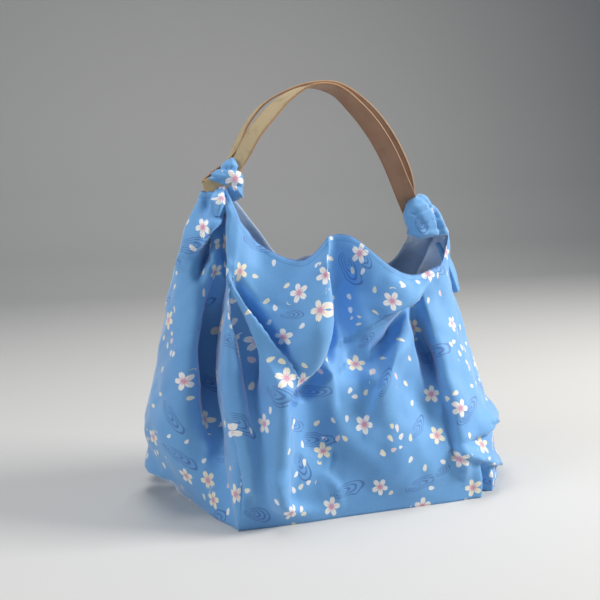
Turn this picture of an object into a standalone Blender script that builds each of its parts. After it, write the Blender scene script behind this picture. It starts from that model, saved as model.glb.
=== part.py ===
"""Furoshiki carrying bag: one square of printed cotton, its corners tied two and two round the ends
of a doubled leather strap.

Sizes are in millimetres and become metres when a mesh is made. +X runs along the front of the bag,
+Y to its back and +Z up. The origin is the middle of the base, on the ground.
"""

import bmesh
import bpy
import numpy as np
from mathutils import Matrix

MM = 0.001
CLOTH_THICK = 2.0
COLUMNS = 94  # grid steps round the bag
ROWS = 24  # grid steps from the ground to the hem
BASE_RINGS = 1
COARSE = 0.6  # the back and the gussets have this share of the front's columns per length
GAP = 0.3  # between the leather and the cloth that is tied round it

# The bag stands on these ribs, named in order round it from the left end by the front to the right
# end and home by the back. Each rib is a line up the cloth: where it leaves the ground, where it
# passes three shares of its height, and where it meets the hem.
LEVELS = (0.0, 0.2, 0.45, 0.75, 1.0)
RIB_COLUMNS = (
    "foot_x", "foot_y", "low_x", "low_y", "mid_x", "mid_y", "high_x", "high_y", "hem_x", "hem_y", "hem_z",
)
RIBS = {
    "left ear":           (-216, 50, -247, 60, -232, 42, -205, 16, -166, 0, 395),
    "left panel":         (-192, -20, -206, -44, -194, -52, -178, -32, -164, -12, 394),
    "corner valley":      (-166, -78, -174, -44, -170, -20, -156, -14, -153, -14, 390),
    "corner ridge":       (-145, -98, -146, -104, -150, -90, -153, -56, -140, -24, 378),
    "nose valley":        (-126, -98, -130, -92, -132, -74, -140, -48, -135, -26, 362),
    "nose ridge":         (-100, -98, -104, -108, -104, -110, -126, -72, -126, -32, 342),
    "cowl":               (-66, -98, -82, -106, -86, -108, -84, -98, -78, -54, 307),
    "cowl edge":          (-34, -98, -52, -104, -56, -104, -38, -102, -37, -74, 329),
    "cowl tuck":          (-8, -98, -26, -100, -40, -84, -46, -60, -36, -34, 329),
    "behind the cowl":    (20, -98, 4, -100, -12, -82, -24, -40, -16, -22, 328),
    "hump":               (48, -98, 34, -104, 18, -86, 14, -48, 12, -24, 325),
    "right cowl":         (86, -98, 68, -102, 48, -80, 50, -52, 57, -30, 288),
    "pleat valley":       (118, -98, 98, -88, 88, -42, 90, -26, 98, -28, 276),
    "panel edge":         (143, -96, 126, -90, 114, -74, 104, -42, 121, -17, 282),
    "right panel":        (172, -70, 180, -62, 164, -48, 142, -27, 143, -8, 290),
    "right end":          (204, -14, 212, 4, 190, 2, 160, 2, 153, 7, 328),
    "right gusset front": (203, 8, 158, 18, 140, 14, 136, 4, 150, 11, 331),
    "right gusset tip":   (199, 22, 108, 30, 94, 27, 106, 14, 147, 15, 335),
    "right gusset back":  (195, 36, 150, 42, 134, 38, 126, 24, 143, 19, 340),
    "right back":         (187, 54, 202, 54, 180, 48, 153, 36, 138, 23, 343),
    "back pleat":         (118, 94, 124, 98, 118, 78, 108, 50, 110, 16, 336),
    "back right":         (60, 97, 66, 108, 66, 92, 72, 62, 82, 36, 286),
    "back middle":        (0, 98, -2, 108, -6, 90, -12, 64, -15, 48, 300),
    "back left":          (-66, 98, -70, 108, -70, 92, -66, 66, -62, 46, 296),
    "back left pleat":    (-136, 98, -142, 104, -130, 82, -112, 54, -98, 34, 338),
    "left back":          (-202, 94, -224, 101, -198, 88, -166, 52, -138, 22, 384),
    "left back lip":      (-207, 86, -232, 91, -206, 77, -174, 42, -144, 20, 386),
    "left gusset back":   (-207, 78, -172, 80, -152, 62, -152, 34, -150, 15, 388),
    "left gusset tip":    (-207, 70, -122, 71, -108, 52, -128, 26, -155, 9, 390),
    "left gusset front":  (-210, 61, -178, 62, -156, 40, -154, 15, -159, 5, 392),
}

# Folds that cross the ribs. Each runs on one face of the bag from start by bend to end, given by its
# place along the face and its height. It stands out by start_h, bend_h and end_h (a trough is
# negative), dies away over wide on its easy side and over steep on the other, and leans that way.
# Seen from outside, the steep side is on the left of a fold that is walked from start to end.
FOLD_COLUMNS = (
    "face", "start_a", "start_z", "bend_a", "bend_z", "end_a", "end_z",
    "start_h", "bend_h", "end_h", "wide", "steep", "lean",
)
FOLDS = {
    "left roll":      ("front", -160, 352, -170, 318, -192, 270, 0, 14, 2, 36, 14, 4),
    "cowl lip":       ("front", -38, 330, -38, 262, -90, 180, 0, 16, 20, 60, 14, 10),
    "nose rise":      ("front", -138, 280, -124, 226, -94, 168, 2, 8, 12, 20, 18, 0),
    "nose crease":    ("front", -136, 276, -111, 232, -90, 182, -2, -9, -6, 12, 14, 0),
    "right cowl lip": ("front", 128, 276, 64, 242, -24, 200, 4, 28, 12, 70, 18, 14),
    "pleat one":      ("front", 80, 234, 38, 166, -10, 92, 4, 22, 0, 32, 28, 0),
    "pleat trough":   ("front", 93, 244, 90, 200, 52, 120, -8, -14, 0, 24, 24, 0),
    "low bulge":      ("front", -90, 160, -104, 90, -92, 30, 6, 12, 8, 34, 22, 0),
    "low hollow":     ("front", -60, 150, -40, 90, -10, 50, -6, -10, 0, 50, 40, 0),
    "ear keel":       ("left", -40, 6, 20, 24, 100, 42, 2, 8, 10, 44, 16, 4),
    "flap tip":       ("right", -10, 70, -45, 68, -80, 74, 10, 10, 4, 60, 12, 6),
    "flap hem":       ("right", -20, 18, -52, 40, -88, 66, 8, 10, 4, 30, 12, 6),
    "back pleat one": ("back", 96, 290, 60, 190, 30, 60, 8, 14, 0, 34, 26, 0),
    "back pleat two": ("back", -110, 320, -86, 200, -60, 50, 8, 16, 0, 36, 28, 0),
    "back trough":    ("back", -30, 280, -20, 200, -16, 110, -4, -12, 0, 40, 40, 0),
}

# A knot is a lump of cloth with bands wound round it. Its top is narrower than its middle by the
# share in taper, and leans over by lean degrees. Each band lies where the distance along its axis
# from the knot's middle is offset, and stands out by its height over half its width.
KNOT_COLUMNS = ("x", "y", "z", "half_x", "half_y", "half_z", "taper", "lean")
KNOTS = {
    "left":  (-143, 0, 402, 20, 19, 22, 0.22, -14),
    "right": (117, 1, 345, 21, 20, 27, 0.15, -24),
}
BAND_COLUMNS = ("knot", "axis_x", "axis_y", "axis_z", "offset", "half_width", "height")
BANDS = {
    "left wrap":  ("left", -0.45, -0.2, 0.87, 4, 12, 4),
    "left lip":   ("left", 0.7, 0.2, 0.7, -14, 8, 3),
    "right wrap": ("right", 0.25, 0.1, 0.96, 2, 16, 4),
    "right lip":  ("right", 0.9, 0.2, -0.3, 16, 8, 3),
}
KNOT_STEPS = (20, 12)  # round and down
KNOT_BLUNT = 0.75  # 1 is an ellipsoid, and less is nearer to a block

# The free ends below the knots, each a leaf of cloth along its own middle line.
TAIL_COLUMNS = ("root_x", "root_y", "root_z", "bend_x", "bend_y", "bend_z", "tip_x", "tip_y", "tip_z", "half")
TAILS = {
    "left":  (-148, -14, 390, -161, -30, 372, -172, -34, 350, 12),
    "right": (140, 14, 330, 158, 18, 290, 171, 15, 244, 9),
}
TAIL_THICK = 2.4
TAIL_STEPS = (8, 4)  # along and across

# The strap: one closed loop laid double. Its front run goes from the left knot over the top to the
# right knot and its back run comes home. wide is the way that the band's width points there.
STRAP_WIDE = 24.0
STRAP_THICK = 2.6
STRAP_STEPS = 84
STRAP_COLUMNS = ("x", "y", "z", "wide_x", "wide_y", "wide_z")
STRAP = {
    "left loop":         (-165, 0, 393, -0.30, 0.00, 0.95),
    "in the left knot":  (-148, -14, 400, -0.70, 0.45, 0.45),
    "front left foot":   (-124, -13, 423, -0.54, 0.82, 0.20),
    "front left":        (-108, -14, 452, -0.48, 0.82, 0.32),
    "front shoulder":    (-90, -14, 473, -0.40, 0.82, 0.40),
    "front rise":        (-68, -13, 493, -0.20, 0.93, 0.31),
    "front top":         (-37, -12, 507, 0.00, 1.00, 0.00),
    "front crown":       (-10, -12, 504, -0.03, 0.95, -0.31),
    "front fall":        (20, -12, 481, -0.37, 0.83, -0.42),
    "front right":       (42, -12, 456, -0.56, 0.72, -0.42),
    "front right low":   (60, -13, 427, -0.67, 0.64, -0.38),
    "front right foot":  (76, -13, 394, -0.70, 0.62, -0.35),
    "in the right knot": (98, -12, 362, -0.95, 0.2, -0.25),
    "right loop":        (105, 1, 341, -1.0, 0.0, -0.1),
    "out of the right":  (108, 14, 364, -0.95, -0.25, 0.0),
    "back right low":    (99, 14, 398, -0.72, -0.6, 0.3),
    "back right":        (82, 14, 436, -0.60, -0.75, 0.35),
    "back fall":         (61, 14, 468, -0.42, -0.86, 0.30),
    "back shoulder":     (36, 14, 493, -0.22, -0.95, 0.20),
    "back crown":        (0, 14, 512, 0.00, -0.98, 0.15),
    "back top":          (-32, 14, 513, 0.00, -1.00, 0.00),
    "back rise":         (-64, 14, 503, 0.00, -1.00, 0.00),
    "back left":         (-92, 14, 487, 0.02, -1.00, 0.00),
    "back left low":     (-111, 14, 465, 0.05, -1.00, 0.00),
    "back left foot":    (-130, 14, 430, 0.10, -1.00, 0.05),
    "out of the left":   (-150, 14, 404, -0.30, -0.80, 0.50),
}


def smooth(t):
    """An S-shaped step from 0 to 1 over t from 0 to 1."""
    t = np.clip(t, 0.0, 1.0)
    return t * t * (3.0 - 2.0 * t)


def hermite(knots, values, at):
    """A smooth curve through values (knots along axis 0), read at the places in at."""
    slope = np.diff(values, axis=0) / np.diff(knots)[:, None]
    span = np.diff(knots)[:, None]
    inner = (slope[:-1] * span[1:] + slope[1:] * span[:-1]) / (span[:-1] + span[1:])
    tangent = np.concatenate([slope[:1], inner, slope[-1:]])
    i = np.clip(np.searchsorted(knots, at, side="right") - 1, 0, len(knots) - 2)
    h = span[i]
    t = ((at - knots[i]) / h[:, 0])[:, None]
    return (
        (2 * t**3 - 3 * t**2 + 1) * values[i]
        + (t**3 - 2 * t**2 + t) * h * tangent[i]
        + (3 * t**2 - 2 * t**3) * values[i + 1]
        + (t**3 - t**2) * h * tangent[i + 1]
    )


def closed_hermite(knots, values, at):
    """As hermite, for a closed curve: knots has one entry more than values, its way home."""
    length = knots[-1] - knots[0]
    around = np.concatenate([values[-2:], values, values[:3]])
    places = np.concatenate([knots[-3:-1] - length, knots[:-1], knots[:3] + length])
    return hermite(places, around, at)


def rib_grid(columns, rows):
    """The bag without its crossing folds: points by row (ground to hem) and column (round the bag).

    With them comes how far each column shows, from 0 inside the gussets to 1.
    """
    table = np.array(list(RIBS.values()), float)
    hem_z = table[:, 10:11]
    flat = table[:, :10].reshape(len(table), 5, 2)
    high = np.array(LEVELS)[None, :, None] * hem_z[:, :, None]
    ribs = np.concatenate([flat, high], axis=2)
    middle = ribs[:, 1:4, :2].mean(axis=1)
    steps = np.linalg.norm(np.roll(middle, -1, axis=0) - middle, axis=1)
    knots = np.concatenate([[0.0], np.cumsum(steps)])
    shares = steps * np.where(["back" in name or "gusset" in name for name in RIBS], COARSE, 1.0)
    count = np.concatenate([[0.0], np.cumsum(shares)]) / shares.sum() * columns
    around = np.interp(np.arange(columns), count, knots)
    rings = np.stack([closed_hermite(knots, ribs[:, k], around) for k in range(5)])
    share = np.linspace(0.0, 1.0, rows + 1)
    grid = hermite(np.array(LEVELS), rings.reshape(5, -1), share).reshape(rows + 1, columns, 3)
    tucked_in = np.array(["gusset" in name for name in RIBS], float)
    return grid, 1.0 - np.interp(around, knots, np.append(tucked_in, tucked_in[0]))


def outward(grid):
    """Unit vectors that point out of the bag at each point of a grid of rows and columns."""
    across = np.roll(grid, -1, axis=1) - np.roll(grid, 1, axis=1)
    up = np.gradient(grid, axis=0)
    normal = np.cross(across, up)
    return normal / np.maximum(np.linalg.norm(normal, axis=2, keepdims=True), 1e-9)


def fold_line(row, points=25):
    """A fold's line on its face, bent through its middle point, and how far along each point is."""
    start, bend, end = (np.array(row[i : i + 2], float) for i in (1, 3, 5))
    t = np.linspace(0.0, 1.0, points)[:, None]
    pull = 2 * bend - (start + end) / 2
    return (1 - t) ** 2 * start + 2 * t * (1 - t) * pull + t**2 * end, t[:, 0]


def press_folds(grid, shown):
    """Raises each row of FOLDS on the columns of the grid that are shown, or sinks it."""
    normal = outward(grid)
    face_axes = {"front": (0, 1, -1), "back": (0, 1, 1), "left": (1, 0, -1), "right": (1, 0, 1)}
    moved = grid.copy()
    for row in FOLDS.values():
        along, across, side = face_axes[row[0]]
        start_h, bend_h, end_h, wide, steep, lean = row[7:]
        line, t = fold_line(row)
        way = np.gradient(line, axis=0)
        way /= np.linalg.norm(way, axis=1, keepdims=True)
        left = np.stack([-way[:, 1], way[:, 0]], axis=1)
        if row[0] in ("back", "left"):
            left = -left
        place = grid[..., [along, 2]]
        apart = place[..., None, :] - line
        near = np.argmin((apart**2).sum(axis=-1), axis=-1)
        gone = np.take_along_axis(apart, near[..., None, None], axis=2)[..., 0, :]
        off = np.linalg.norm(gone, axis=-1)
        on_left = (gone * left[near]).sum(axis=-1) > 0
        width = np.where(on_left, steep, wide)
        rise = smooth(1.0 - off / width)
        height = hermite(np.array([0.0, 0.5, 1.0]), np.array([[start_h], [bend_h], [end_h]]), t)[near, 0]
        facing = smooth(1.6 * side * normal[..., across] + 0.15) * shown
        moved += normal * (height * rise * facing)[..., None]
        slip = np.zeros_like(grid)
        share = np.abs(height) / max(abs(start_h), abs(bend_h), abs(end_h))
        slip[..., [along, 2]] = left[near] * (lean * share * rise**2 * facing)[..., None]
        moved += slip
    return moved


def cloth_grid(columns, rows):
    """The draped cloth's wall: its ribs, with the folds that cross them, standing on the ground."""
    wall = press_folds(*rib_grid(columns, rows))
    wall[..., 2] = np.maximum(wall[..., 2], 0.0)
    wall[0, :, 2] = 0.0
    return wall


def clear_scene():
    for obj in list(bpy.data.objects):
        bpy.data.objects.remove(obj, do_unlink=True)


def collection(name):
    made = bpy.data.collections.new(name)
    bpy.context.scene.collection.children.link(made)
    return made


def material(name, colour, roughness):
    made = bpy.data.materials.new(name)
    made.use_nodes = True
    shader = made.node_tree.nodes["Principled BSDF"]
    shader.inputs["Base Color"].default_value = (*colour, 1.0)
    shader.inputs["Roughness"].default_value = roughness
    shader.inputs["Metallic"].default_value = 0.0
    return made


def mesh_object(name, points, faces, where, finish):
    """A smooth-shaded mesh from points in millimetres, its normals made to agree."""
    mesh = bpy.data.meshes.new(name)
    mesh.from_pydata((np.asarray(points) * MM).tolist(), [], faces)
    made = bmesh.new()
    made.from_mesh(mesh)
    bmesh.ops.remove_doubles(made, verts=made.verts, dist=1e-6)
    bmesh.ops.recalc_face_normals(made, faces=made.faces)
    made.to_mesh(mesh)
    made.free()
    mesh.shade_smooth()
    mesh.materials.append(finish)
    obj = bpy.data.objects.new(name, mesh)
    where.objects.link(obj)
    return obj


def grid_faces(rows, columns, closed=True):
    """Quads between the rings of a grid, whose columns meet again when it is closed."""
    last = columns if closed else columns - 1
    return [
        (r * columns + c, r * columns + (c + 1) % columns, (r + 1) * columns + (c + 1) % columns, (r + 1) * columns + c)
        for r in range(rows)
        for c in range(last)
    ]


def cloth_shell(where, finish):
    """The wall and the flat base in one sheet, open at the mouth."""
    wall = cloth_grid(COLUMNS, ROWS)
    foot = wall[0]
    centre = np.array([foot[:, 0].mean(), foot[:, 1].mean(), 0.0])
    rings = [centre + (foot - centre) * k / (BASE_RINGS + 1) for k in range(1, BASE_RINGS + 1)]
    points = np.concatenate([[centre], *rings, wall.reshape(-1, 3)])
    faces = [(0, 1 + (c + 1) % COLUMNS, 1 + c) for c in range(COLUMNS)]
    faces += [tuple(1 + i for i in face) for face in grid_faces(BASE_RINGS + ROWS, COLUMNS)]
    shell = mesh_object("cloth", points, faces, where, finish)
    wall_thick = shell.modifiers.new("thickness", "SOLIDIFY")
    wall_thick.thickness = CLOTH_THICK * MM
    wall_thick.offset = -1.0
    return shell


def knot_lump(name, where, finish):
    """A rounded lump whose bands stand out from it."""
    x, y, z, half_x, half_y, half_z, taper, lean = KNOTS[name]
    around, down = KNOT_STEPS
    turn = np.arange(around) / around * 2 * np.pi
    fall = np.arange(1, down) / down * np.pi
    ring = np.stack(
        [np.outer(np.sin(fall), np.cos(turn)), np.outer(np.sin(fall), np.sin(turn)), np.outer(np.cos(fall), 0 * turn + 1)],
        axis=-1,
    )
    way = np.concatenate([[[0, 0, 1.0]], ring.reshape(-1, 3), [[0, 0, -1.0]]])
    boxy = np.sign(way) * np.abs(way) ** KNOT_BLUNT
    points = boxy * (half_x, half_y, half_z)
    points[:, :2] *= 1.0 - taper * boxy[:, 2:]
    for knot, axis_x, axis_y, axis_z, offset, half_width, height in BANDS.values():
        if knot == name:
            axis = np.array([axis_x, axis_y, axis_z])
            near = np.abs(points @ (axis / np.linalg.norm(axis)) - offset) / half_width
            points += way * (height * smooth(2.0 - 2.0 * near))[:, None]
    tilt = np.array(Matrix.Rotation(np.radians(lean), 3, "Y"))
    points = points @ tilt.T + (x, y, z)
    last = len(points) - 1
    faces = [(0, 1 + c, 1 + (c + 1) % around) for c in range(around)]
    faces += [tuple(1 + i for i in face) for face in grid_faces(down - 2, around)]
    faces += [(last, last - around + (c + 1) % around, last - around + c) for c in range(around)]
    return mesh_object(name + " knot", points, faces, where, finish)


def tail_leaf(name, where, finish):
    """A free end: a leaf that narrows to its tip, hollow towards the bag."""
    row = np.array(TAILS[name][:9], float).reshape(3, 3)
    half = TAILS[name][9]
    long, wide = TAIL_STEPS
    t = np.linspace(0.0, 1.0, long + 1)
    middle = hermite(np.array([0.0, 0.5, 1.0]), row, t)
    way = np.gradient(middle, axis=0)
    way /= np.linalg.norm(way, axis=1, keepdims=True)
    across = np.cross(way, (0.0, 1.0, 0.0))
    across /= np.linalg.norm(across, axis=1, keepdims=True)
    hollow = np.cross(across, way)
    s = np.linspace(-1.0, 1.0, wide + 1)
    spread = half * (0.35 + 0.65 * np.sin(np.pi * (0.12 + 0.83 * t)))
    points = (
        middle[:, None]
        + across[:, None] * (spread[:, None] * s)[..., None]
        + hollow[:, None] * (0.45 * spread[:, None] * s**2)[..., None]
    )
    leaf = mesh_object(name + " tail", points.reshape(-1, 3), grid_faces(long, wide + 1, False), where, finish)
    thick = leaf.modifiers.new("thickness", "SOLIDIFY")
    thick.thickness = TAIL_THICK * MM
    thick.offset = 0.0
    return leaf


def strap_band(name, grow, where, finish):
    """The doubled strap as one closed band, its section grown on every side by grow."""
    rows = np.array(list(STRAP.values()), float)
    steps = np.linalg.norm(np.roll(rows[:, :3], -1, axis=0) - rows[:, :3], axis=1)
    knots = np.concatenate([[0.0], np.cumsum(steps)])
    at = np.arange(STRAP_STEPS) / STRAP_STEPS * knots[-1]
    path = closed_hermite(knots, rows, at)
    middle = path[:, :3]
    way = np.roll(middle, -1, axis=0) - np.roll(middle, 1, axis=0)
    way /= np.linalg.norm(way, axis=1, keepdims=True)
    wide = path[:, 3:] - way * (path[:, 3:] * way).sum(axis=1, keepdims=True)
    wide /= np.linalg.norm(wide, axis=1, keepdims=True)
    face = np.cross(way, wide)
    half_w, half_t = STRAP_WIDE / 2 + grow, STRAP_THICK / 2 + grow
    corners = [(-1, -1), (1, -1), (1, 1), (-1, 1)]
    ring = np.stack([middle + wide * half_w * a + face * half_t * b for a, b in corners], axis=1)
    faces = []
    for r in range(STRAP_STEPS):
        for side in range(4):
            near = (r * 4 + side, r * 4 + (side + 1) % 4)
            far = tuple((i + 4) % (4 * STRAP_STEPS) for i in near)
            # both broad sides are split along parallel diagonals, so a twist keeps them apart
            if side < 2:
                faces += [(near[0], near[1], far[1]), (near[0], far[1], far[0])]
            else:
                faces += [(near[0], near[1], far[0]), (near[1], far[1], far[0])]
    return mesh_object(name, ring.reshape(-1, 3), faces, where, finish)


def cut_or_join(obj, tool, operation):
    """Puts a Boolean on obj and hides its tool."""
    change = obj.modifiers.new(operation.lower() + " " + tool.name, "BOOLEAN")
    change.operation = operation
    change.solver = "EXACT"
    change.object = tool
    tool.hide_render = True
    tool.display_type = "WIRE"


def main():
    clear_scene()
    parts = collection("furoshiki bag")
    tools = collection("cutters")
    cotton = material("printed cotton", (0.27, 0.50, 0.83), 0.85)
    leather = material("strap leather", (0.55, 0.40, 0.24), 0.6)
    cloth = cloth_shell(parts, cotton)
    for name in KNOTS:
        cut_or_join(cloth, knot_lump(name, tools, cotton), "UNION")
        cut_or_join(cloth, tail_leaf(name, tools, cotton), "UNION")
    strap_band("strap", 0.0, parts, leather)
    cut_or_join(cloth, strap_band("strap channel", GAP, tools, leather), "DIFFERENCE")


main()
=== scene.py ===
import bpy
import numpy as np
from mathutils import Matrix, Vector


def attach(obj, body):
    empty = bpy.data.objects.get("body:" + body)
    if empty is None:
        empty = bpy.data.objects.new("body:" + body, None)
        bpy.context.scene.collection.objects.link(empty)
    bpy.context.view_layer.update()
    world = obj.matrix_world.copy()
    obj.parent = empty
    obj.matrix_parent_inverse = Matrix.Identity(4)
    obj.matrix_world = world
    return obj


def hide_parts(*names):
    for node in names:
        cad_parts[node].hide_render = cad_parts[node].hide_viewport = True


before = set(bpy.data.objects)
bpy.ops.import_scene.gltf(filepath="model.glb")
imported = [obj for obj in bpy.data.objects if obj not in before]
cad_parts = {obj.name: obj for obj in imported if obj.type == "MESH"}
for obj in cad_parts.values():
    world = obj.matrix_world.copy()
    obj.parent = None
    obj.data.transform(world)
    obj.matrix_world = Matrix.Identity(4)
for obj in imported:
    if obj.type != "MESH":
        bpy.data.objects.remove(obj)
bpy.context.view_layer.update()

mm = 0.001

# the camera stands a little left of the front and looks slightly down
cameraSizes = {
    "place": (-289.4, -879.0, 381.0),
    "right": (0.9647, -0.2624, -0.0203),
    "ahead": (0.2569, 0.9555, -0.1446),
    "lens": 43.98,
}


def unit(v):
    # v / |v| along the last axis
    return v / np.maximum(np.linalg.norm(v, axis=-1, keepdims=True), 1e-9)


def makeCamera():
    # up = right x ahead, with right first made square to ahead
    ahead = unit(np.array(cameraSizes["ahead"]))
    right = np.array(cameraSizes["right"])
    right = unit(right - ahead * (right @ ahead))
    up = np.cross(right, ahead)
    turn = Matrix(np.stack([right, up, -ahead], axis=1).tolist()).to_4x4()
    data = bpy.data.cameras.new("camera")
    data.lens = cameraSizes["lens"]
    data.dof.use_dof = False
    camera = bpy.data.objects.new("camera", data)
    bpy.context.scene.collection.objects.link(camera)
    camera.matrix_world = Matrix.Translation(Vector(cameraSizes["place"]) * mm) @ turn
    bpy.context.scene.camera = camera


makeCamera()
print("camera placed")


def smooth(t):
    # 3t^2 - 2t^3, held at 0 and 1 outside
    t = np.clip(t, 0.0, 1.0)
    return t * t * (3.0 - 2.0 * t)


def crest(off, wide, sharp):
    # reach = 1 - off / wide, held at 0 and 1; smooth(reach) mixed with reach^2 by sharp
    reach = np.clip(1.0 - off / wide, 0.0, 1.0)
    return (1 - sharp) * smooth(reach) + sharp * reach**2


def between(ends, share):
    # the first end to the second by share
    return ends[0] + (ends[1] - ends[0]) * share


def loopLengths(points):
    # length from the first point to each on a closed line, and last the length of the whole loop
    steps = np.linalg.norm(np.roll(points, -1, axis=0) - points, axis=1)
    return np.append(0.0, np.cumsum(steps))


def hermite(knots, values, at):
    # cubic through values at knots; the slope at a knot is its neighbours' slopes weighed by span
    span = np.diff(knots)[:, None]
    slope = np.diff(values, axis=0) / span
    inner = (slope[:-1] * span[1:] + slope[1:] * span[:-1]) / (span[:-1] + span[1:])
    tangent = np.concatenate([slope[:1], inner, slope[-1:]])
    i = np.clip(np.searchsorted(knots, at, side="right") - 1, 0, len(knots) - 2)
    h = span[i]
    t = ((at - knots[i]) / h[:, 0])[:, None]
    return (
        (2 * t**3 - 3 * t**2 + 1) * values[i]
        + (t**3 - 2 * t**2 + t) * h * tangent[i]
        + (3 * t**2 - 2 * t**3) * values[i + 1]
        + (t**3 - t**2) * h * tangent[i + 1]
    )


def closedHermite(knots, values, at):
    # the same on a loop, with two values repeated before it and three after
    length = knots[-1] - knots[0]
    around = np.concatenate([values[-2:], values, values[:3]])
    places = np.concatenate([knots[-3:-1] - length, knots[:-1], knots[:3] + length])
    return hermite(places, around, at)


# the cloth bag: grid steps, how coarse the back and the gussets are beside the front, and its folds
bag = {
    "columns": 400, "rows": 100, "coarse": 0.4, "thick": 1.0, "baseRings": 3, "lineSteps": 12,
    "levels": (0.0, 0.2, 0.45, 0.75, 1.0),  # shares of the hem's height where the ribs have a point
    "hemGuard": 22.0,  # a fold comes to its full height over this length below the hem
    "facing": (0.15, 1.75),  # edge on to a fold's face and square to it; smooth of it is the share
}
# footX, footY, lowX, lowY, midX, midY, highX, highY, hemX, hemY, hemZ
ribs = {
    "left ear": (-214, 48, -245, 58, -227, 42, -205, 16, -168, 0, 386),
    "left panel": (-190, -22, -204, -42, -196, -52, -180, -34, -165, -12, 385),
    "left shade": (-180, -50, -188, -46, -184, -40, -168, -34, -159, -16, 385),
    "corner valley": (-164, -80, -172, -46, -171, -14, -153, -22, -153, -14, 390),
    "corner ridge": (-146, -97, -152, -104, -158, -88, -152, -56, -142, -28, 378),
    "nose valley": (-126, -98, -132, -97, -140, -68, -148, -60, -136, -32, 362),
    "nose ridge": (-104, -98, -104, -112, -105, -112, -136, -66, -126, -32, 342),
    "nose flank": (-86, -98, -88, -100, -88, -94, -108, -72, -106, -30, 320),
    "cowl": (-62, -98, -70, -96, -70, -86, -84, -90, -78, -50, 305),
    "cowl belly": (-44, -98, -54, -96, -52, -84, -60, -104, -56, -62, 308),
    "cowl edge": (-28, -98, -40, -96, -38, -84, -43, -98, -37, -72, 331),
    "cowl tuck": (-8, -98, -24, -98, -26, -78, -40, -46, -30, -42, 322),
    "behind the cowl": (20, -98, 4, -100, -2, -74, -20, -22, -16, -14, 328),
    "hump": (48, -98, 34, -104, 24, -84, 18, -36, 12, -20, 325),
    "right cowl": (86, -98, 68, -102, 50, -82, 50, -54, 57, -30, 288),
    "pleat valley": (118, -98, 98, -94, 88, -68, 90, -46, 92, -28, 276),
    "panel edge": (143, -96, 126, -92, 113, -76, 104, -46, 116, -20, 281),
    "right panel": (174, -74, 180, -68, 162, -52, 142, -29, 137, -12, 291),
    "right corner": (204, -42, 199, -36, 180, -22, 155, -10, 147, -2, 308),
    "right end": (216, -10, 214, 4, 192, 2, 160, 2, 153, 7, 328),
    "right gusset front": (207, 10, 158, 18, 140, 14, 136, 4, 150, 11, 331),
    "right gusset tip": (201, 23, 108, 30, 94, 27, 106, 14, 147, 15, 335),
    "right gusset back": (195, 36, 150, 42, 134, 38, 126, 24, 143, 19, 340),
    "right back": (187, 54, 202, 54, 180, 48, 153, 36, 138, 23, 343),
    "back pleat": (118, 94, 124, 98, 118, 78, 108, 50, 110, 16, 336),
    "back right": (60, 97, 66, 108, 66, 92, 72, 62, 82, 36, 286),
    "back middle": (0, 98, -2, 108, -6, 90, -12, 64, -15, 48, 300),
    "back left": (-66, 98, -70, 108, -70, 92, -66, 66, -62, 46, 296),
    "back left pleat": (-136, 98, -142, 104, -130, 82, -112, 54, -98, 34, 338),
    "left back": (-202, 94, -224, 101, -198, 88, -166, 52, -138, 22, 384),
    "left back lip": (-207, 86, -232, 91, -206, 77, -174, 42, -144, 20, 386),
    "left gusset back": (-207, 78, -172, 80, -152, 62, -152, 34, -150, 15, 388),
    "left gusset tip": (-207, 70, -122, 71, -108, 52, -128, 26, -155, 9, 390),
    "left gusset front": (-210, 61, -178, 62, -156, 40, -154, 15, -160, 5, 386),
}

# face, startA, startZ, bendA, bendZ, endA, endZ, startH, bendH, endH, wide, steep, lean, sharp
# the steep side is on the left of the walk from start to end, seen from outside
folds = {
    "left roll": ("front", -152, 366, -168, 336, -196, 308, 3, 18, 9, 40, 5, 5, 0),
    "cup lip": ("front", -41, 286, -48, 208, -84, 164, 6, 14, 9, 44, 6, 3, 0),
    "lobe one": ("front", -141, 46, -151, 165, -153, 280, 5, 7, 0, 20, 5, 2, 0),
    "panel border": ("front", -148, 284, -168, 322, -148, 366, 3, 8, 3, 18, 5, 2, 0),
    "puff side": ("front", -167, 384, -169, 370, -170, 352, -6, -7, -2, 7, 7, 0, 0.4),
    "nose edge": ("front", -150, 280, -125, 232, -92, 172, 2, 10, 8, 11, 7, 1, 0.2),
    "right cowl lip": ("front", 130, 284, 68, 244, -2, 206, 3, 16, 5, 50, 6, 6, 0),
    "pleat one": ("front", 4, 110, 50, 190, 86, 236, 3, 16, 4, 26, 9, 2, 0.2),
    "panel step": ("front", 122, 50, 112, 148, 100, 240, 8, 9, 2, 34, 6, 2, 0),
    "flap fold": ("front", 204, 80, 166, 76, 122, 76, 9, 7, 2, 26, 5, 3, 0),
    "flap edge": ("front", 204, 20, 164, 42, 120, 62, 7, 12, 7, 18, 5, 4, 0),
    "flap side": ("right", 0, 76, -24, 78, -50, 82, 3, 6, 7, 26, 6, 3, 0),
    "hem side": ("right", 4, 12, -20, 14, -46, 22, 1, 3, 3, 22, 7, 2, 0),
    "low hollow": ("front", -60, 140, -60, 90, -24, 50, -6, -10, -4, 44, 40, 0, 0),
    "ear keel": ("left", 2, 28, 54, 41, 104, 40, 2, 21, 21, 30, 24, 0, 0.5),
    "back pleat one": ("back", 96, 290, 60, 190, 30, 60, 8, 14, 0, 34, 26, 0, 0.3),
    "back pleat two": ("back", -110, 320, -86, 200, -60, 50, 8, 16, 0, 36, 28, 0, 0.3),
    "back trough": ("back", -30, 280, -20, 200, -16, 110, -4, -12, 0, 40, 40, 0, 0.3),
}
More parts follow.
